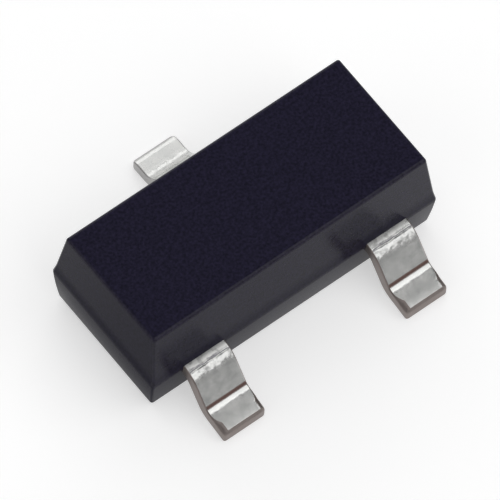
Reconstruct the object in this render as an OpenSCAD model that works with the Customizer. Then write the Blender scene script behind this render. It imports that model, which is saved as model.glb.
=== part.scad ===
// Small three-lead surface-mount transistor: a moulded body on a stamped and formed lead frame,
// with the chip on the collector lead's paddle and two bond wires inside the moulding.
// Origin on the seating plane under the middle of the body, +Z up, +X along the body,
// the single lead at +Y and the pair of leads at -Y.

/* [Mould body] */
// Length of the body at its parting line
body_l = 2.96; // [2.88:0.01:3.04]
// Width of the body at its parting line
body_w = 1.38; // [1.3:0.01:1.44]
// Height of the body above its parting line
body_h_above = 0.62; // [0.5:0.01:0.75]
// Height of the body below its parting line
body_h_below = 0.4; // [0.34:0.01:0.46]
// Draft of the end walls above the parting line, in degrees
end_draft_above = 7; // [2:0.5:12]
// Draft of the side walls above the parting line, in degrees
side_draft_above = 9; // [2:0.5:12]
// Draft of the end walls below the parting line, in degrees
end_draft_below = 5; // [2:0.5:12]
// Draft of the side walls below the parting line, in degrees
side_draft_below = 7.5; // [2:0.5:12]
// Air gap between the seating plane and the underside of the body
standoff = 0.05; // [0.01:0.01:0.1]

/* [Leads] */
// Distance between the centre lines of the two front leads
lead_pitch = 1.9; // [1.85:0.01:1.95]
// Width of a lead
lead_w = 0.43; // [0.34:0.01:0.48]
// Thickness of the lead frame's sheet
sheet_t = 0.12; // [0.1:0.01:0.16]
// Distance over the toes of the front and back leads
lead_span = 2.52; // [2.44:0.01:2.64]
// Height of the sheet's top face above the parting line
sheet_rise = 0.02; // [0.01:0.005:0.05]
// Flat shoulder of a lead between the body and its upper bend
shoulder_l = 0.02; // [0.01:0.005:0.05]
// Horizontal run of the shank, between the corners of its two bends
shank_run = 0.2625; // [0.2:0.0025:0.27]
// Inside radius of both bends of a lead
bend_r = 0.04; // [0.04:0.01:0.1]
// Corner radius of a lead's toe, seen from above
toe_r = 0.035; // [0.02:0.005:0.1]

/* [Lead frame inside the body] */
// Length of the die paddle, along the body
paddle_l = 0.9; // [0.8:0.01:0.96]
// Width of the die paddle, across the body
paddle_w = 0.6; // [0.52:0.01:0.66]
// Distance from the back wall's parting line to the paddle
paddle_setback = 0.34; // [0.28:0.01:0.4]
// Gap between the paddle and each bond post
frame_gap = 0.15; // [0.12:0.01:0.18]
// Width of a bond post, across the body
post_w = 0.55; // [0.4:0.01:0.65]
// Distance from the front wall's parting line to the bond posts
post_setback = 0.24; // [0.2:0.01:0.3]
// How far a bond post reaches past the outer edge of its lead
post_ear = 0.05; // [0.02:0.01:0.1]
// Corner radius of the paddle and the bond posts
frame_r = 0.04; // [0.02:0.01:0.08]
// Radius of the half-round notches that lock a lead in the moulding
notch_r = 0.05; // [0.03:0.01:0.07]
// Distance from the wall's parting line to the centre of the lock notches
notch_setback = 0.14; // [0.12:0.01:0.16]

/* [Chip and bond wires] */
// Side of the square chip
die_side = 0.4; // [0.32:0.01:0.46]
// Thickness of the chip
die_t = 0.14; // [0.1:0.01:0.18]
// Thickness of the die attach under the chip
attach_t = 0.02; // [0.015:0.005:0.03]
// How far the die attach spreads past the chip
attach_spread = 0.02; // [0.01:0.005:0.03]
// Distance between the two ball bonds on the chip
bond_pitch = 0.2; // [0.12:0.01:0.22]
// Diameter of a bond wire
wire_d = 0.025; // [0.02:0.001:0.03]
// Diameter of a ball bond
ball_d = 0.075; // [0.06:0.005:0.09]
// Height of a ball bond
ball_h = 0.02; // [0.015:0.001:0.03]
// Height of a wire loop's axis above the chip
loop_h = 0.14; // [0.12:0.01:0.2]
// Radius of a wire's bend at the top of its loop
loop_r = 0.05; // [0.03:0.01:0.07]
// Radius of a wire's bend where it comes down to its post
landing_r = 0.08; // [0.05:0.01:0.12]
// Distance from a bond post's inner edge to the middle of its stitch bond
stitch_inset = 0.17; // [0.12:0.01:0.24]
// Length of a stitch bond
stitch_l = 0.07; // [0.05:0.01:0.09]
// Width of a stitch bond
stitch_w = 0.05; // [0.04:0.005:0.07]
// Height of a stitch bond
stitch_h = 0.015; // [0.013:0.001:0.02]

/* [Hidden] */
$fn = 48;

// Heights over the seating plane
parting_z = standoff + body_h_below;
sheet_top = parting_z + sheet_rise;
die_bottom = sheet_top + attach_t;
die_top = die_bottom + die_t;

// The formed lead's side view, along the middle of the sheet
shoulder_mid_z = sheet_top - sheet_t / 2;
foot_mid_z = sheet_t / 2;
shank_drop = shoulder_mid_z - foot_mid_z;
shank_angle = atan2(shank_drop, shank_run);
bend_mid_r = bend_r + sheet_t / 2;
bend_tangent = bend_mid_r * tan(shank_angle / 2);
shank_l = norm([shank_run, shank_drop]) - 2 * bend_tangent;
upper_corner_y = body_w / 2 + shoulder_l + bend_tangent;
lower_corner_y = upper_corner_y + shank_run;
toe_y = lead_span / 2;

// The lead frame's plan
paddle_back_y = body_w / 2 - paddle_setback;
paddle_mid_y = paddle_back_y - paddle_w / 2;
post_inner_x = paddle_l / 2 + frame_gap;
post_outer_x = (lead_pitch + lead_w) / 2 + post_ear;
post_front_y = -(body_w / 2 - post_setback);
stitch_x = post_inner_x + stitch_inset;
stitch_y = post_front_y + post_w / 2;

// A bond wire in its own upright plane, from the ball's axis to the middle of the stitch
ball_x = bond_pitch / 2;
wire_run = norm([stitch_x - ball_x, stitch_y - paddle_mid_y]);
wire_heading = atan2(stitch_y - paddle_mid_y, stitch_x - ball_x);
loop_mid_z = die_top + loop_h - loop_r;
landing_z = sheet_top + stitch_h;
landing_mid_z = landing_z + landing_r;
wire_slope_l = sqrt(pow(wire_run - loop_r, 2) + pow(landing_mid_z - loop_mid_z, 2) - pow(loop_r + landing_r, 2));
wire_slope = atan2(loop_r + landing_r, wire_slope_l)
           - atan2(landing_mid_z - loop_mid_z, wire_run - loop_r);

// Section of the body, widest at the parting line and drafted above and below it
module body_section(width, draft_above, draft_below) {
    top_half = width / 2 - body_h_above * tan(draft_above);
    bottom_half = width / 2 - body_h_below * tan(draft_below);
    polygon([[-width / 2, 0], [-bottom_half, -body_h_below], [bottom_half, -body_h_below],
             [width / 2, 0], [top_half, body_h_above], [-top_half, body_h_above]]);
}

// The whole moulding, before the lead frame and the chip take their room
module body_form() {
    translate([0, 0, parting_z])
        intersection() {
            rotate([90, 0, 90])
                linear_extrude(2 * body_l, center = true)
                    body_section(body_w, side_draft_above, side_draft_below);
            rotate([90, 0, 0])
                linear_extrude(2 * body_w, center = true)
                    body_section(body_l, end_draft_above, end_draft_below);
        }
}

// Rectangle from one corner to the other, with round corners
module rounded_rectangle(from, to, r) {
    translate([from.x + r, from.y])
        square([to.x - from.x - 2 * r, to.y - from.y]);
    translate([from.x, from.y + r])
        square([to.x - from.x, to.y - from.y - 2 * r]);
    for (x = [from.x + r, to.x - r], y = [from.y + r, to.y - r])
        translate([x, y])
            circle(r);
}

// Sector of the bent sheet, turned from one angle to the next about the bend's axis
module bend_section(from_angle, turn) {
    reach = 2 * (bend_r + sheet_t);
    intersection() {
        difference() {
            circle(bend_r + sheet_t);
            circle(bend_r);
        }
        polygon([[0, 0], reach * [cos(from_angle), sin(from_angle)],
                 reach * [cos(from_angle + turn), sin(from_angle + turn)]]);
    }
}

// Side view of the sheet, flat inside the body and formed into a gull wing outside it
module sheet_section() {
    shank_start = [upper_corner_y + bend_tangent * cos(shank_angle),
                   shoulder_mid_z - bend_tangent * sin(shank_angle)];
    translate([-body_w, sheet_top - sheet_t])
        square([body_w + upper_corner_y - bend_tangent, sheet_t]);
    translate([upper_corner_y - bend_tangent, shoulder_mid_z - bend_mid_r])
        bend_section(90 - shank_angle, shank_angle);
    translate(shank_start)
        rotate(-shank_angle)
            translate([0, -sheet_t / 2])
                square([shank_l, sheet_t]);
    translate([lower_corner_y + bend_tangent, foot_mid_z + bend_mid_r])
        bend_section(270 - shank_angle, shank_angle);
    translate([lower_corner_y + bend_tangent, 0])
        square([lead_span - lower_corner_y - bend_tangent, sheet_t]);
}

// A lead: its stamped outline, cut from the formed sheet
module formed_lead() {
    intersection() {
        rotate([90, 0, 90])
            linear_extrude(2 * body_l, center = true)
                sheet_section();
        linear_extrude(sheet_top + sheet_t)
            children();
    }
}

// Stamped outline of a lead's straight stem, from inside the body to the toe
module stem_outline(inner_y) {
    difference() {
        rounded_rectangle([-lead_w / 2, inner_y], [lead_w / 2, toe_y], toe_r);
        for (x = [-lead_w / 2, lead_w / 2])
            translate([x, body_w / 2 - notch_setback])
                circle(notch_r);
    }
}

// A front lead with its bond post, on the +X side
module front_lead() {
    mirror([0, 1, 0])
        formed_lead() {
            translate([lead_pitch / 2, 0])
                stem_outline(-post_front_y - post_w / 2);
            rounded_rectangle([post_inner_x, -post_front_y - post_w],
                              [post_outer_x, -post_front_y], frame_r);
        }
}

// Round wire bent about its own axis
module wire_bend(r, turn) {
    rotate_extrude(angle = turn)
        translate([r, 0])
            circle(d = wire_d);
}

// A bond wire from the chip to the post on the +X side, with its ball and its stitch
module bond_wire() {
    translate([ball_x, paddle_mid_y, die_top])
        cylinder(h = ball_h, d = ball_d);
    translate([ball_x, paddle_mid_y, die_top + ball_h / 2])
        cylinder(h = loop_mid_z - die_top - ball_h / 2, d = wire_d);
    translate([ball_x, paddle_mid_y, 0])
        rotate([90, 0, wire_heading]) {
            translate([loop_r, loop_mid_z])
                rotate(90 - wire_slope) {
                    wire_bend(loop_r, 90 + wire_slope);
                    translate([loop_r, 0])
                        rotate([90, 0, 0])
                            cylinder(h = wire_slope_l, d = wire_d);
                    translate([loop_r + landing_r, -wire_slope_l])
                        rotate(180)
                            wire_bend(landing_r, wire_slope);
                }
            translate([wire_run - stitch_l / 2, sheet_top, -stitch_w / 2])
                cube([stitch_l, stitch_h, stitch_w]);
        }
}

module mould_body() {
    color("#2b2a33")
        difference() {
            body_form();
            lead_collector();
            lead_base();
            lead_emitter();
            die_attach();
            die();
            bond_wire_base();
            bond_wire_emitter();
        }
}

module lead_collector() {
    color("#c4c5c7")
        formed_lead() {
            stem_outline(paddle_mid_y);
            rounded_rectangle([-paddle_l / 2, paddle_back_y - paddle_w],
                              [paddle_l / 2, paddle_back_y], frame_r);
        }
}

module lead_base() {
    color("#c4c5c7")
        mirror([1, 0, 0])
            front_lead();
}

module lead_emitter() {
    color("#c4c5c7")
        front_lead();
}

module die_attach() {
    side = die_side + 2 * attach_spread;
    color("#8c8f94")
        translate([-side / 2, paddle_mid_y - side / 2, sheet_top])
            cube([side, side, attach_t]);
}

module die() {
    color("#5d6472")
        translate([-die_side / 2, paddle_mid_y - die_side / 2, die_bottom])
            cube([die_side, die_side, die_t]);
}

module bond_wire_base() {
    color("#d8b24a")
        mirror([1, 0, 0])
            bond_wire();
}

module bond_wire_emitter() {
    color("#d8b24a")
        bond_wire();
}

mould_body();
lead_collector();
lead_base();
lead_emitter();
die_attach();
die();
bond_wire_base();
bond_wire_emitter();
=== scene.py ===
"""Looks of a small three-lead surface-mount transistor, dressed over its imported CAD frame.

Lengths are worked out in millimetres, as in the part's source, and become metres in the meshes.
"""

import math
from types import SimpleNamespace

import bpy
from mathutils import Matrix, Vector, noise


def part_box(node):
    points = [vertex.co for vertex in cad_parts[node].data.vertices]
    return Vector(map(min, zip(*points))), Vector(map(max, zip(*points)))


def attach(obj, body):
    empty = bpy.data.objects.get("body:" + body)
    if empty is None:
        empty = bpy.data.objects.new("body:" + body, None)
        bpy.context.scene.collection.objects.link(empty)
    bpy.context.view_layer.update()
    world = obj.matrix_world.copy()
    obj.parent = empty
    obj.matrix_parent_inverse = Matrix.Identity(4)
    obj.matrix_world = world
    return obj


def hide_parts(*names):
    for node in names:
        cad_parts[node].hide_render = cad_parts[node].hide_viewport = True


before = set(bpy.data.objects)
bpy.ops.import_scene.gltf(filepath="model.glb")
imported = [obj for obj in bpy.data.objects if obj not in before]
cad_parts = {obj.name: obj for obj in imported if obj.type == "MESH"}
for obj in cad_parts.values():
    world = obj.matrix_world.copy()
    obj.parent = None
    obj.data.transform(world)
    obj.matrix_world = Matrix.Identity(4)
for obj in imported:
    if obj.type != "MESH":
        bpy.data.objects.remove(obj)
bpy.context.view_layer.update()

MM = 0.001

# Moulded body: a wall's bow is the share of its lower draft that curves in
body_low, body_high = [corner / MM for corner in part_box("mould_body")]
body_bottom = body_low.z
body_top = body_high.z
parting_rise = 0.4
parting_z = body_bottom + parting_rise
half_w = body_high.y
end_wall = SimpleNamespace(
    half=body_high.x,
    draft_above=math.radians(5.9),
    draft_below=math.radians(5),
    bow=0.65,
)
side_wall = SimpleNamespace(
    half=half_w,
    draft_above=math.radians(8.6),
    draft_below=math.radians(7.5),
    bow=0.2,
)
flare_w = 0.008
flare_h = 0.14
upright_r = 0.025
least_upright_r = 0.004
top_edge_r = 0.033
bottom_edge_r = 0.012
parting_r = 0.015
parting_inset = parting_r * 0.08

# Rings that draw the body, and how far the next ring is from an edge
edge_steps = 8
lower_wall_steps = 12
flare_steps = 10
flat_inset = 0.004
wall_gap = 0.003
flare_gap = 0.01

# Lead frame; the toes stop just short of the CAD box
lead_low, lead_high = [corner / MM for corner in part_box("lead_emitter")]
paddle_low, paddle_high = [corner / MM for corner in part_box("lead_collector")]
lead_x = 0.95
lead_w = 0.43
sheet_t = 0.12
sheet_top = lead_high.z
toe_clearance = 0.0005
toe_y = -lead_low.y - toe_clearance
shank_run = 0.2625
shank_angle = math.atan2(sheet_top - sheet_t, shank_run)
upper_bend_r = 0.13
frame_r = 0.04
notch_r = 0.05
notch_inside = 0.14
notch_y = half_w - notch_inside
post_depth = 0.55
paddle_depth = 0.6

# Edges of the stamped sheet: rolled over on the punch side, sharper on the die side
rolled_r = 0.014
least_rolled_r = 0.006
burr_r = 0.012
least_burr_r = 0.004
toe_chamfer = 0.024
back_toe_round = 0.042

# The front leads end in a sheared toe on a sloping foot, the back one in a rounded toe on a nearly flat foot.
# A foot is crowned along its length, its plating has flaws near the bend, and its rim looks sheared.
front_form = SimpleNamespace(
    side=-1,
    upper_corner_y=half_w + 0.07,
    lower_bend_r=0.10,
    foot_slope=math.radians(10),
    foot_bevel=0.04,
    crown=0.004,
    toe_r=0.025,
    toe_fall_from=toe_chamfer,
    toe_fall_slope=math.tan(math.radians(33)),
    toe_round=0.0,
    rim=toe_chamfer,
    flaw_shift=0.0,
    flaw_depth=1.0,
)
back_form = SimpleNamespace(
    side=1,
    upper_corner_y=half_w + 0.04,
    lower_bend_r=0.16,
    foot_slope=math.radians(1.5),
    foot_bevel=0.0,
    crown=0.0025,
    toe_r=0.045,
    toe_fall_from=0.074,
    toe_fall_slope=math.tan(math.radians(19)),
    toe_round=back_toe_round,
    rim=0.03,
    flaw_shift=-0.045,
    flaw_depth=1.9,
)

# Columns and steps of a lead's mesh
top_columns = 64
bottom_columns = 6
corner_steps = 5
arc_count = 8
notch_count = 24
lower_bend_count = 16
bend_step = 0.004
flat_step = 0.008
bend_margin = 0.03
block_margin = 0.0004
chamfer_margin = 0.0007
least_step = 0.0006

# Relief of the plating: a wave is a depth and how many times to the millimetre its noise goes up and down
crease_at = 0.765
crease_w = 0.007
crease_depth = 0.005
crease_wander = 0.006
crease_wander_per_mm = 22
crease_seed = 0.5
lip_share = 0.4
lip_before = 1.8
crinkle_to = 0.87
crinkle_rise = 0.012
crinkle_fall = 0.05
crinkle_waves = ((0.0045, 16), (0.0020, 40))
skin_wave = (0.0005, 9)
flaw_reach = 0.05
flaw_waves = ((0.0016, 22), (0.0008, 45))
edge_fade = 0.012

# Moulding compound: gloss of each finish, and which way a face looks to take it
mould_gloss = {
    "mould_sides": 0.14,
    "mould_ends": 0.031,
    "mould_low_sides": 0.030,
    "mould_top": 0.03,
    "mould_low_ends": 0.012,
}
top_facing = 0.99
end_facing = 0.97
low_end_facing = 0.5
mould_dark = (0.0090, 0.0082, 0.0186, 1)
mould_pale = (0.0212, 0.0184, 0.0414, 1)
# Colours of the painted highlight on the rounded top edges, and the band of upward facing that takes it
painted_rim_highlight_dark = (0.0175, 0.0150, 0.0290, 1)
painted_rim_highlight_pale = (0.0420, 0.0380, 0.0620, 1)
painted_rim_highlight_band = SimpleNamespace(middle=0.60, half=0.38, soft=0.25)
mould_per_mm = 40.0
mould_detail = 2.0
mould_roughness = (0.15, 0.21)
mould_bump = 0.0004

# Tin plating: colours, heights of its crest, crease, painted bend shade (a dark reflection painted into the
# front leads' lower bend) and foot, and grains to the millimetre
tin_dark = (0.56, 0.565, 0.555, 1)
tin_pale = (0.68, 0.68, 0.665, 1)
tin_fleck = (0.38, 0.38, 0.375, 1)
tin_crease = (0.24, 0.235, 0.25, 1)
tin_painted_bend_shade = (0.22, 0.14, 0.125, 1)
crest_heights = (sheet_top - 0.10, sheet_top - 0.05)
foot_heights = (0.17, 0.21)
front_to_back = (-0.1, 0.1)
crease_band = SimpleNamespace(middle=0.452, half=0.006, soft=0.004)
crease_wobble = (-0.004, 0.004)
painted_bend_shade_band = SimpleNamespace(middle=0.192, half=0.016, soft=0.008)
cloud_per_mm = 9.0
wobble_per_mm = 14.0
fleck_per_mm = 22.0
fleck_range = (0.50, 0.60)
fleck_share = 0.8
tin_roughness = (0.17, 0.24)
crest_roughness = 0.09
foot_roughness = (0.065, 0.025)
rolled_per_mm = 30.0
rolled_detail = 1.0
rolled_stretch = (1.0, 0.12, 1.0)
rolled_bump = 0.0003

# Sheared edges of the sheet; the paler grey copy is painted light, a lighter copy of the cut finish for the
# back lead's edges and rim
brown_cut_colours = ((0.235, 0.200, 0.187, 1), (0.315, 0.276, 0.262, 1))
back_cut_painted_light_colours = ((0.38, 0.375, 0.37, 1), (0.48, 0.475, 0.47, 1))
cut_per_mm = 35.0
cut_stretch = (1.0, 1.0, 0.3)
cut_roughness = (0.36, 0.5)
cut_bump = 0.0015

# Chip, its epoxy and its bond wires, which the moulding covers
silicon_look = SimpleNamespace(
    name="silicon",
    colours=((0.10, 0.11, 0.14, 1), (0.14, 0.15, 0.18, 1)),
    per_mm=12.0,
    metallic=0.4,
    roughness=0.25,
    bump=0.0004,
)
epoxy_look = SimpleNamespace(
    name="silver_epoxy",
    colours=((0.40, 0.40, 0.40, 1), (0.52, 0.51, 0.50, 1)),
    per_mm=45.0,
    metallic=0.6,
    roughness=0.55,
    bump=0.002,
)
gold_look = SimpleNamespace(
    name="gold_wire",
    colours=((0.80, 0.58, 0.24, 1), (0.90, 0.68, 0.32, 1)),
    per_mm=30.0,
    metallic=1.0,
    roughness=0.22,
    bump=0.0004,
)
inner_roughness_share = 0.2

# The part of a noise's range that most of it lies in, and how it is made
noise_range = (0.3, 0.7)
noise_detail = 3.0
noise_roughness = 0.55

# Floor, room and lamps; a lamp is a name, a place, a width, a height and a level where 1 is white
floor_reach = 400
floor_colour = (0.72, 0.72, 0.72, 1)
floor_glow = 0.505
room_level = 0.10
lamps = (
    ("overhead", (0, 0, 80), 64, 64, 0.48),
    ("key", (26, -43, 68), 100, 58, 1.35),
    ("back_high", (18, 46, 70), 110, 40, 1.02),
    ("back_low", (28, 72, 40), 110, 34, 1.5),
    ("back_foot", (32, 84, 13), 120, 22, 0.70),
    ("low_front", (24, -77, 27), 120, 56, 0.33),
    ("low_left", (-72, 8, 46), 110, 76, 0.42),
)

# Camera, fitted to the straight edges of the body and the feet of the leads in the photograph
image_px = 500
sensor_w = 36.0
camera_azimuth = math.radians(-40.2646)
camera_elevation = math.radians(62.0185)
camera_roll = math.radians(3.1658)
camera_distance = 105.263
px_per_mm = 120.9516
aim = Vector((0, 0, 0.45))
aim_right = -0.0429
aim_up = 0.1313
clip_near = 1
clip_far = 10000


def corner_inset(distance, radius):
    """How far a round corner draws an edge in, at a distance from where the corner ends."""
    if distance >= radius:
        return 0.0
    return radius - math.sqrt(max(radius**2 - (radius - distance) ** 2, 0.0))


def evenly(start, end, count):
    """Values from a start to an end in a number of equal steps, with both ends."""
    return [start + (end - start) * i / count for i in range(count + 1)]


def quarter_turn(count):
    """Angles from zero to a right angle in a number of equal steps."""
    return evenly(0, math.radians(90), count)


def bridged(rings):
    """Vertices and quads of closed rings joined in turn, with the two ends capped."""
    count = len(rings[0])
    verts = [point for ring in rings for point in ring]
    faces = []
    for level in range(len(rings) - 1):
        low = level * count
        high = low + count
        for i in range(count):
            j = (i + 1) % count
            faces.append((low + i, low + j, high + j, high + i))
    faces.append(tuple(reversed(range(count))))
    faces.append(tuple(range(len(verts) - count, len(verts))))
    return verts, faces


def piece(name, verts, faces, node):
    """A smooth mesh piece in metres that stands for a CAD node."""
    mesh = bpy.data.meshes.new(name)
    mesh.from_pydata([Vector(v) * MM for v in verts], [], faces)
    mesh.polygons.foreach_set("use_smooth", [True] * len(mesh.polygons))
    mesh.update()
    made = bpy.data.objects.new(name, mesh)
    bpy.context.scene.collection.objects.link(made)
    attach(made, "root")
    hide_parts(node)
    return made


def rectangle_ring(half_x, half_y, radius, z):
    """Rectangle with round corners at a height, anticlockwise."""
    ring = []
    for quarter in range(4):
        for step in range(corner_steps + 1):
            angle = math.radians(90) * (quarter + step / corner_steps)
            side_x = 1 if quarter in (0, 3) else -1
            side_y = 1 if quarter in (0, 1) else -1
            x = side_x * (half_x - radius) + radius * math.cos(angle)
            y = side_y * (half_y - radius) + radius * math.sin(angle)
            ring.append((x, y, z))
    return ring


def wall_out(z, wall):
    """Half size of the body at a height: drafted both ways, with a slight flare to the parting line."""
    if z >= parting_z:
        upper_h = body_top - parting_z
        top_half = wall.half - upper_h * math.tan(wall.draft_above)
        fall = (wall.half - flare_w - top_half) * (z - parting_z) / upper_h
        flare = flare_w * max(0.0, 1 - (z - parting_z) / flare_h) ** 2
        return wall.half - flare_w - fall + flare
    lower_h = parting_z - body_bottom
    share = (parting_z - z) / lower_h
    return wall.half - lower_h * math.tan(wall.draft_below) * (wall.bow * share**2 + (1 - wall.bow) * share)


def body_ring(z, inset):
    """Outline of the body at a height, drawn in by an inset."""
    x = wall_out(z, end_wall) - inset
    y = wall_out(z, side_wall) - inset
    return rectangle_ring(x, y, max(upright_r - inset, least_upright_r), z)


def body_rings():
    """Rings of the moulding from its underside to its top, with soft edges."""
    quarter = quarter_turn(edge_steps)
    rings = [body_ring(body_bottom, bottom_edge_r + flat_inset)]
    for turn in quarter:
        rise = bottom_edge_r * (1 - math.cos(turn))
        rings.append(body_ring(body_bottom + rise, bottom_edge_r * (1 - math.sin(turn))))
    low = body_bottom + bottom_edge_r + wall_gap
    rings += [body_ring(z, 0) for z in evenly(low, parting_z - parting_r, lower_wall_steps)]
    rings.append(body_ring(parting_z, parting_inset))
    rings += [body_ring(parting_z + rise, 0) for rise in evenly(parting_r, flare_h, flare_steps)]
    rings.append(body_ring(parting_z + flare_h + flare_gap, 0))
    rings.append(body_ring(body_top - top_edge_r - wall_gap, 0))
    for turn in quarter:
        fall = top_edge_r * (1 - math.sin(turn))
        rings.append(body_ring(body_top - fall, top_edge_r * (1 - math.cos(turn))))
    rings.append(body_ring(body_top, top_edge_r + flat_inset))
    return rings


def mould_face(face):
    """Name of the finish that a face of the moulding takes, from its place and the way it looks."""
    if face.normal.z > top_facing:
        return "mould_top"
    if face.center.z < parting_z * MM:
        return "mould_low_ends" if abs(face.normal.x) > low_end_facing else "mould_low_sides"
    return "mould_ends" if abs(face.normal.x) > end_facing else "mould_sides"


def moulding():
    """The moulded body, with a finish for each of its faces."""
    verts, faces = bridged(body_rings())
    made = piece("moulding", verts, faces, "mould_body")
    names = list(mould_gloss)
    for name in names:
        made.data.materials.append(mould_compound(name, mould_gloss[name]))
    for face in made.data.polygons:
        face.material_index = names.index(mould_face(face))


def formed_lead(form):
    """Side view of a formed lead along the middle of its sheet, whose foot falls to its toe by a slope."""
    foot_slope = form.foot_slope
    shape = SimpleNamespace(foot_slope=foot_slope)
    shape.shoulder_z = sheet_top - sheet_t / 2
    shape.upper_r = upper_bend_r + sheet_t / 2
    shape.lower_r = form.lower_bend_r + sheet_t / 2
    upper_tangent = shape.upper_r * math.tan(shank_angle / 2)
    lower_tangent = shape.lower_r * math.tan((shank_angle - foot_slope) / 2)
    run = toe_y - form.upper_corner_y
    drop = shape.shoulder_z - sheet_t / 2 / math.cos(foot_slope)
    reach = drop * math.cos(foot_slope) - run * math.sin(foot_slope)
    shank = reach / math.sin(shank_angle - foot_slope)
    foot = (run - shank * math.cos(shank_angle)) / math.cos(foot_slope)
    shape.upper_bend_y = form.upper_corner_y - upper_tangent
    shape.shank_from = shape.upper_bend_y + shape.upper_r * shank_angle
    shape.lower_bend_from = shape.shank_from + shank - upper_tangent - lower_tangent
    shape.foot_from = shape.lower_bend_from + shape.lower_r * (shank_angle - foot_slope)
    shape.toe_at = shape.foot_from + foot - lower_tangent
    return shape


def sheet_place(shape, along):
    """Distance out, height and slope of the sheet's middle, at a distance along the unrolled lead."""
    if along < shape.upper_bend_y:
        return along, shape.shoulder_z, 0.0
    turn = min((along - shape.upper_bend_y) / shape.upper_r, shank_angle)
    out = shape.upper_bend_y + shape.upper_r * math.sin(turn)
    height = shape.shoulder_z - shape.upper_r * (1 - math.cos(turn))
    run = max(0.0, min(along, shape.lower_bend_from) - shape.shank_from)
    out += run * math.cos(shank_angle)
    height -= run * math.sin(shank_angle)
    if along > shape.lower_bend_from:
        turn = max(shank_angle - (along - shape.lower_bend_from) / shape.lower_r, shape.foot_slope)
        out += shape.lower_r * (math.sin(shank_angle) - math.sin(turn))
        height += shape.lower_r * (math.cos(shank_angle) - math.cos(turn))
    run = max(0.0, along - shape.foot_from)
    return out + run * math.cos(shape.foot_slope), height - run * math.sin(shape.foot_slope), turn


def foot_share(shape, along):
    """How far along the foot a point is, from its bend to its toe."""
    return max(0.0, min(1.0, (along - shape.foot_from) / (shape.toe_at - shape.foot_from)))


def wave_height(wave, spot):
    """Height of a wave of noise at a spot."""
    depth, per_mm = wave
    return depth * noise.noise(spot * per_mm)


def relief(shape, form, along, slope, across, mid_x):
    """Height of the plating over the sheet: creased and crinkled on the upper bend, uneven at the foot."""
    skin = along + sheet_t / 2 * slope
    spot = Vector((across, skin, mid_x))
    wander = crease_wander * noise.noise(Vector((across * crease_wander_per_mm, mid_x, crease_seed)))
    past = (skin - crease_at - wander) / crease_w
    height = crease_depth * (lip_share * math.exp(-((past + lip_before) ** 2)) - math.exp(-past * past))
    crinkled = max(0.0, min(1.0, (skin - crease_at) / crinkle_rise, (crinkle_to - skin) / crinkle_fall))
    height += crinkled * sum(wave_height(wave, spot) for wave in crinkle_waves)
    height += wave_height(skin_wave, spot)
    flaw_at = shape.foot_from + form.flaw_shift
    flawed = form.flaw_depth * max(0.0, 1 - abs(along - flaw_at) / flaw_reach)
    height += flawed * sum(wave_height(wave, spot) for wave in flaw_waves)
    from_edge = max(0.0, lead_w / 2 - rolled_r - abs(across - mid_x))
    return height * min(1.0, from_edge / edge_fade)


def section_ring(left, right, inset, top_inset, bevel):
    """Section of the sheet with rounded edges, as (across, through, kind) from its top left corner."""
    left, right = left + inset, right - inset
    top, bottom = sheet_t / 2 - top_inset, inset - sheet_t / 2
    roll = max(rolled_r - inset, least_rolled_r) + bevel
    fall = max(rolled_r - inset, least_rolled_r) + bevel / 2
    burr = max(burr_r - inset, least_burr_r)
    quarter = quarter_turn(corner_steps)
    ring = []
    for column in range(top_columns + 1):
        ring.append((left + roll + (right - left - 2 * roll) * column / top_columns, top, "top"))
    for turn in quarter[1:]:
        ring.append((right - roll + roll * math.sin(turn), top - fall + fall * math.cos(turn), "cut"))
    for turn in quarter:
        ring.append((right - burr + burr * math.cos(turn), bottom + burr - burr * math.sin(turn), "cut"))
    for column in range(1, bottom_columns + 1):
        across = right - burr - (right - left - 2 * burr) * column / bottom_columns
        ring.append((across, bottom, "bottom"))
    for turn in quarter[1:]:
        ring.append((left + burr - burr * math.sin(turn), bottom + burr - burr * math.cos(turn), "cut"))
    for turn in quarter[:-1]:
        ring.append((left + roll - roll * math.cos(turn), top - fall + fall * math.sin(turn), "cut"))
    return ring


def block_edges(block, along):
    """Left and right edge of the block inside the moulding, which has round corners."""
    drawn = corner_inset(min(along - block.from_y, block.to_y - along), frame_r)
    return block.low_x + drawn, block.high_x - drawn


def stem_edges(shape, form, along, mid_x):
    """Left and right edge of a lead's stem, with its lock notches and round toe."""
    drawn = corner_inset(shape.toe_at - along, form.toe_r)
    if abs(along - notch_y) < notch_r:
        drawn = math.sqrt(notch_r**2 - (along - notch_y) ** 2)
    return mid_x - lead_w / 2 + drawn, mid_x + lead_w / 2 - drawn


def toe_fall(form, gap):
    """How far the top of the toe falls, at a gap from its end."""
    return max(0.0, form.toe_fall_from - gap) * form.toe_fall_slope + corner_inset(gap, form.toe_round)


def arc_steps(start, end):
    """Distances from one end of a quarter round to the other, close where it turns in fast."""
    return [start + (end - start) * (1 - math.cos(turn)) for turn in quarter_turn(arc_count)]


def lead_stations(shape, form, block):
    """Distances along the unrolled lead at which its section is drawn."""
    toe_at = shape.toe_at
    stations = set(arc_steps(block.from_y, block.from_y + frame_r))
    stations |= set(arc_steps(block.from_y, block.from_y + burr_r))
    stations |= set(arc_steps(block.to_y, block.to_y - frame_r))
    stations.add(block.to_y + block_margin)
    stations |= {notch_y + notch_r * math.cos(turn) for turn in evenly(0, math.pi, notch_count)}
    bend_from = half_w - bend_margin
    bend_to = shape.shank_from + bend_margin
    for start, end, step in ((bend_from, bend_to, bend_step), (bend_to, toe_at, flat_step)):
        stations |= set(evenly(start, end, round((end - start) / step)))
    stations |= set(evenly(shape.lower_bend_from, shape.foot_from, lower_bend_count))
    stations |= set(arc_steps(toe_at, toe_at - form.toe_r))
    stations |= set(arc_steps(toe_at, toe_at - back_toe_round))
    stations |= {toe_at - toe_chamfer + chamfer_margin * i for i in (-1, 0, 1)}
    kept = []
    for station in sorted(stations):
        if not kept or station - kept[-1] > least_step or station == toe_at:
            kept.append(station)
    return kept


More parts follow.
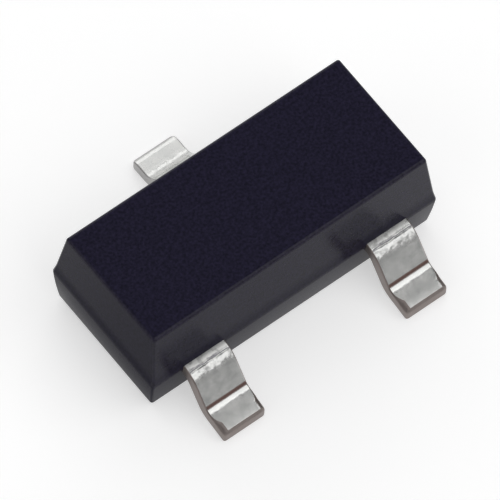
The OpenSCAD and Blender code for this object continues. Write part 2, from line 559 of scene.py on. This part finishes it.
def lead_section(shape, form, block, along, mid_x):
    """Section of a lead at a distance along it, flat as it is before it is formed."""
    if along <= block.to_y:
        left, right = block_edges(block, along)
    else:
        left, right = stem_edges(shape, form, along, mid_x)
    gap = shape.toe_at - along
    foot = foot_share(shape, along)
    inset = corner_inset(min(along - block.from_y, gap), burr_r)
    top_inset = max(inset, toe_fall(form, gap)) - form.crown * math.sin(math.pi * foot)
    bevel = form.foot_bevel * min(1.0, 2 * foot) ** 2
    return section_ring(left, right, inset, top_inset, bevel)


def formed_ring(shape, form, section, along, mid_x):
    """Points of a lead's section in place on the formed lead, with the plating's relief on its top."""
    lean = math.tan(form.foot_slope) * foot_share(shape, along)
    ring = []
    for across, through, kind in section:
        out, height, slope = sheet_place(shape, along - through * lean)
        if kind == "top" and along > half_w:
            through += relief(shape, form, along, slope, across, mid_x)
        y = out + through * math.sin(slope)
        z = height + through * math.cos(slope)
        ring.append((across, form.side * y, z))
    return ring


def lead(name, node, mid_x, form, block, plating, cut_tin):
    """A stamped and formed lead, plated on its faces and sheared along its edges and its toe."""
    shape = formed_lead(form)
    stations = lead_stations(shape, form, block)
    sections = [lead_section(shape, form, block, along, mid_x) for along in stations]
    rings = []
    for along, section in zip(stations, sections):
        rings.append(formed_ring(shape, form, section, along, mid_x))
    verts, faces = bridged(rings)
    if form.side < 0:
        faces = [tuple(reversed(face)) for face in faces]
    made = piece(name, verts, faces, node)
    made.data.materials.append(plating)
    made.data.materials.append(cut_tin)
    rim_from = shape.toe_at - form.rim
    sheared = []
    for along, section in zip(stations[:-1], sections):
        sheared += [kind == "cut" or along >= rim_from for _, _, kind in section]
    sheared += [True, True]
    made.data.polygons.foreach_set("material_index", [int(cut) for cut in sheared])


def put(material, socket, value):
    """Sets a socket to a value, or joins it to another node's output."""
    if isinstance(value, bpy.types.NodeSocket):
        material.node_tree.links.new(value, socket)
    else:
        socket.default_value = value


def fill(material, node, **sockets):
    """Sets a node's sockets by name, with an underscore where the name has a space."""
    for name, value in sockets.items():
        put(material, node.inputs[name.replace("_", " ")], value)


def add(material, kind, **sockets):
    """A new shader node of a kind, with its named sockets filled."""
    made = material.node_tree.nodes.new("ShaderNode" + kind)
    fill(material, made, **sockets)
    return made


def empty_material(name):
    """A node material with nothing but its output."""
    material = bpy.data.materials.new(name)
    material.use_nodes = True
    material.node_tree.nodes.clear()
    return material, add(material, "OutputMaterial")


def new_material(name):
    """A node material with a Principled shader."""
    material, output = empty_material(name)
    shader = add(material, "BsdfPrincipled")
    put(material, output.inputs["Surface"], shader.outputs["BSDF"])
    return material, shader


def millimetres(material, stretch=(1, 1, 1)):
    """The object's own coordinates in millimetres, stretched along each axis."""
    place = add(material, "TexCoord").outputs["Object"]
    scaled = add(material, "Mapping", Vector=place, Scale=[share / MM for share in stretch])
    return scaled.outputs["Vector"]


def grain(material, place, per_mm, detail=noise_detail):
    """Noise from 0 to 1 with a number of grains to the millimetre."""
    made = add(material, "TexNoise", Vector=place, Scale=per_mm, Detail=detail, Roughness=noise_roughness)
    return made.outputs["Fac"]


def blend(material, factor, low, high):
    """A colour between two, by a factor; a Mix node's colours are inputs 6 and 7 and output 2."""
    made = add(material, "Mix")
    made.data_type = "RGBA"
    for socket, value in ((made.inputs[0], factor), (made.inputs[6], low), (made.inputs[7], high)):
        put(material, socket, value)
    return made.outputs[2]


def ranged(material, value, source, target=(0, 1)):
    """A value taken from one range to another, held at its ends."""
    made = add(material, "MapRange", Value=value, From_Min=source[0], From_Max=source[1])
    fill(material, made, To_Min=target[0], To_Max=target[1])
    return made.outputs["Result"]


def spread(material, grains, target=(0, 1)):
    """Noise taken to a range of its own."""
    return ranged(material, grains, noise_range, target)


def arithmetic(material, operation, first, second):
    """A Math node on two values."""
    made = add(material, "Math")
    made.operation = operation
    put(material, made.inputs[0], first)
    put(material, made.inputs[1], second)
    return made


def product(material, first, second):
    """Two values multiplied."""
    return arithmetic(material, "MULTIPLY", first, second).outputs[0]


def total(material, first, second, clamp=False):
    """Two values added, held between 0 and 1 where that is asked for."""
    made = arithmetic(material, "ADD", first, second)
    made.use_clamp = clamp
    return made.outputs[0]


def banded(material, value, band):
    """One in a band of values about its middle, with soft ends, and zero beyond it."""
    low = band.middle - band.half
    high = band.middle + band.half
    rise = ranged(material, value, (low, low + band.soft))
    fall = ranged(material, value, (high - band.soft, high), (1, 0))
    return product(material, rise, fall)


def bumped(material, height, depth):
    """A bump of a depth in millimetres."""
    return add(material, "Bump", Height=height, Distance=depth * MM).outputs["Normal"]


def mould_compound(name, gloss):
    """Dark epoxy moulding compound with a fine grain, and a painted highlight that makes it a little paler
    where its top edges turn over.
    """
    material, shader = new_material(name)
    normal = add(material, "NewGeometry").outputs["Normal"]
    facing = add(material, "SeparateXYZ", Vector=normal).outputs["Z"]
    # Painted highlight: a paler colour where a face turns over at the top edges
    painted_rim_highlight = banded(material, facing, painted_rim_highlight_band)
    fine = grain(material, millimetres(material), mould_per_mm, mould_detail)
    mottle = spread(material, fine)
    plain = blend(material, mottle, mould_dark, mould_pale)
    edge = blend(material, mottle, painted_rim_highlight_dark, painted_rim_highlight_pale)
    fill(
        material,
        shader,
        Base_Color=blend(material, painted_rim_highlight, plain, edge),
        Roughness=spread(material, fine, mould_roughness),
        Specular_IOR_Level=gloss,
        Normal=bumped(material, fine, mould_bump),
    )
    return material


def tin_plating():
    """Matt tin over rolled sheet, darker in flecks on the upper bend, with a painted dark reflection along
    the front leads' lower bend.
    """
    material, shader = new_material("tin_plating")
    place = millimetres(material)
    axes = add(material, "SeparateXYZ", Vector=place).outputs
    front = ranged(material, axes["Y"], front_to_back, (1, 0))
    crest = ranged(material, axes["Z"], crest_heights)
    foot = ranged(material, axes["Z"], foot_heights, (1, 0))
    cloud = grain(material, place, cloud_per_mm)
    fleck = ranged(material, grain(material, place, fleck_per_mm), fleck_range, (0, fleck_share))
    wobble = spread(material, grain(material, place, wobble_per_mm), crease_wobble)
    crease = banded(material, total(material, axes["Z"], wobble), crease_band)
    # Painted shade: a dark reflection painted into the colour along the front leads' lower bend
    painted_bend_shade = product(material, banded(material, axes["Z"], painted_bend_shade_band), front)
    colour = blend(material, spread(material, cloud), tin_dark, tin_pale)
    colour = blend(material, product(material, crest, fleck), colour, tin_fleck)
    colour = blend(material, crease, colour, tin_crease)
    colour = blend(material, painted_bend_shade, colour, tin_painted_bend_shade)
    roughness = spread(material, cloud, tin_roughness)
    roughness = total(material, roughness, product(material, crest, crest_roughness))
    foot_rough = product(material, foot, ranged(material, front, (0, 1), foot_roughness))
    roughness = total(material, roughness, foot_rough)
    lines = grain(material, millimetres(material, rolled_stretch), rolled_per_mm, rolled_detail)
    normal = bumped(material, lines, rolled_bump)
    fill(material, shader, Base_Color=colour, Metallic=1.0, Roughness=roughness, Normal=normal)
    return material


def cut_edge_tin(name, colours):
    """The sheared edge of the sheet, duller than its plated faces."""
    material, shader = new_material(name)
    streak = grain(material, millimetres(material, cut_stretch), cut_per_mm)
    fill(
        material,
        shader,
        Base_Color=blend(material, streak, *colours),
        Metallic=1.0,
        Roughness=spread(material, streak, cut_roughness),
        Normal=bumped(material, streak, cut_bump),
    )
    return material


def inner_material(look):
    """A finish for the chip and its bonds, which the moulding covers."""
    material, shader = new_material(look.name)
    mottle = grain(material, millimetres(material), look.per_mm)
    smooth = look.roughness * (1 - inner_roughness_share)
    rough = look.roughness * (1 + inner_roughness_share)
    fill(
        material,
        shader,
        Base_Color=blend(material, mottle, *look.colours),
        Metallic=look.metallic,
        Roughness=spread(material, mottle, (smooth, rough)),
        Normal=bumped(material, mottle, look.bump),
    )
    return material


def finish_node(node, material):
    """Gives a CAD node that is shown as it is a finish of its own."""
    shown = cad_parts[node]
    shown.data.materials.clear()
    shown.data.materials.append(material)


def floor_material():
    """Pale floor that is white to the camera and in reflections, and keeps the shadow."""
    material, output = empty_material("pale_floor")
    path = add(material, "LightPath").outputs
    seen = total(material, path["Is Camera Ray"], path["Is Glossy Ray"])
    shown = total(material, seen, path["Is Transmission Ray"], clamp=True)
    paper = add(material, "BsdfDiffuse", Color=floor_colour)
    glow = add(material, "Emission", Strength=product(material, shown, floor_glow))
    both = add(material, "AddShader")
    put(material, both.inputs[0], paper.outputs[0])
    put(material, both.inputs[1], glow.outputs[0])
    put(material, output.inputs["Surface"], both.outputs[0])
    return material


def studio_floor():
    """Plain floor under the seating plane."""
    reach = floor_reach * MM
    mesh = bpy.data.meshes.new("floor")
    corners = [(-reach, -reach, 0), (reach, -reach, 0), (reach, reach, 0), (-reach, reach, 0)]
    mesh.from_pydata(corners, [], [(0, 1, 2, 3)])
    mesh.materials.append(floor_material())
    made = bpy.data.objects.new("floor", mesh)
    bpy.context.scene.collection.objects.link(made)


def softbox(name, place, size_x, size_y, level):
    """A rectangular lamp that faces the part."""
    lamp = bpy.data.lights.new(name, "AREA")
    lamp.shape = "RECTANGLE"
    lamp.size = size_x * MM
    lamp.size_y = size_y * MM
    lamp.energy = level * math.pi * lamp.size * lamp.size_y
    made = bpy.data.objects.new(name, lamp)
    bpy.context.scene.collection.objects.link(made)
    made.location = Vector(place) * MM
    made.rotation_euler = Vector(place).to_track_quat("Z", "Y").to_euler()
    made.visible_camera = False


def studio_world():
    """The dim room round the lamps."""
    world = bpy.data.worlds.new("room")
    world.use_nodes = True
    colour = (room_level, room_level, room_level, 1)
    world.node_tree.nodes["Background"].inputs["Color"].default_value = colour
    bpy.context.scene.world = world


def camera():
    """The photograph's camera: its three axes, its place and its lens."""
    az, el = camera_azimuth, camera_elevation
    right = Vector((math.cos(az), math.sin(az), 0))
    back = Vector((math.sin(az) * math.cos(el), -math.cos(az) * math.cos(el), math.sin(el)))
    up = back.cross(right)
    axis_x = math.cos(camera_roll) * right + math.sin(camera_roll) * up
    axis_y = math.cos(camera_roll) * up - math.sin(camera_roll) * right
    place = aim - aim_right * axis_x - aim_up * axis_y + camera_distance * back
    lens = bpy.data.cameras.new("camera")
    lens.sensor_width = sensor_w
    lens.lens = px_per_mm * camera_distance * sensor_w / image_px
    lens.clip_start = clip_near * MM
    lens.clip_end = clip_far * MM
    made = bpy.data.objects.new("camera", lens)
    bpy.context.scene.collection.objects.link(made)
    turned = Matrix((axis_x, axis_y, back)).transposed().to_4x4()
    made.matrix_world = Matrix.Translation(place * MM) @ turned
    bpy.context.scene.camera = made


bpy.context.scene.view_settings.view_transform = "Standard"
camera()
studio_floor()
studio_world()
for lamp_values in lamps:
    softbox(*lamp_values)

moulding()

# Blocks of the leads inside the moulding, in each lead's own direction out from the middle
post = SimpleNamespace(
    low_x=lead_low.x,
    high_x=lead_high.x,
    from_y=-lead_high.y,
    to_y=-lead_high.y + post_depth,
)
mirrored_post = SimpleNamespace(
    low_x=-post.high_x,
    high_x=-post.low_x,
    from_y=post.from_y,
    to_y=post.to_y,
)
paddle = SimpleNamespace(
    low_x=paddle_low.x,
    high_x=paddle_high.x,
    from_y=paddle_low.y,
    to_y=paddle_low.y + paddle_depth,
)
tin = tin_plating()
brown_cut = cut_edge_tin("cut_edge_brown", brown_cut_colours)
# Painted light: a paler copy of the cut finish for the back lead's edges and rim
back_cut_painted_light = cut_edge_tin("cut_edge_back_painted_light", back_cut_painted_light_colours)
lead("emitter_lead", "lead_emitter", lead_x, front_form, post, tin, brown_cut)
lead("base_lead", "lead_base", -lead_x, front_form, mirrored_post, tin, brown_cut)
lead("collector_lead", "lead_collector", 0.0, back_form, paddle, tin, back_cut_painted_light)

gold = inner_material(gold_look)
finish_node("die", inner_material(silicon_look))
finish_node("die_attach", inner_material(epoxy_look))
finish_node("bond_wire_base", gold)
finish_node("bond_wire_emitter", gold)
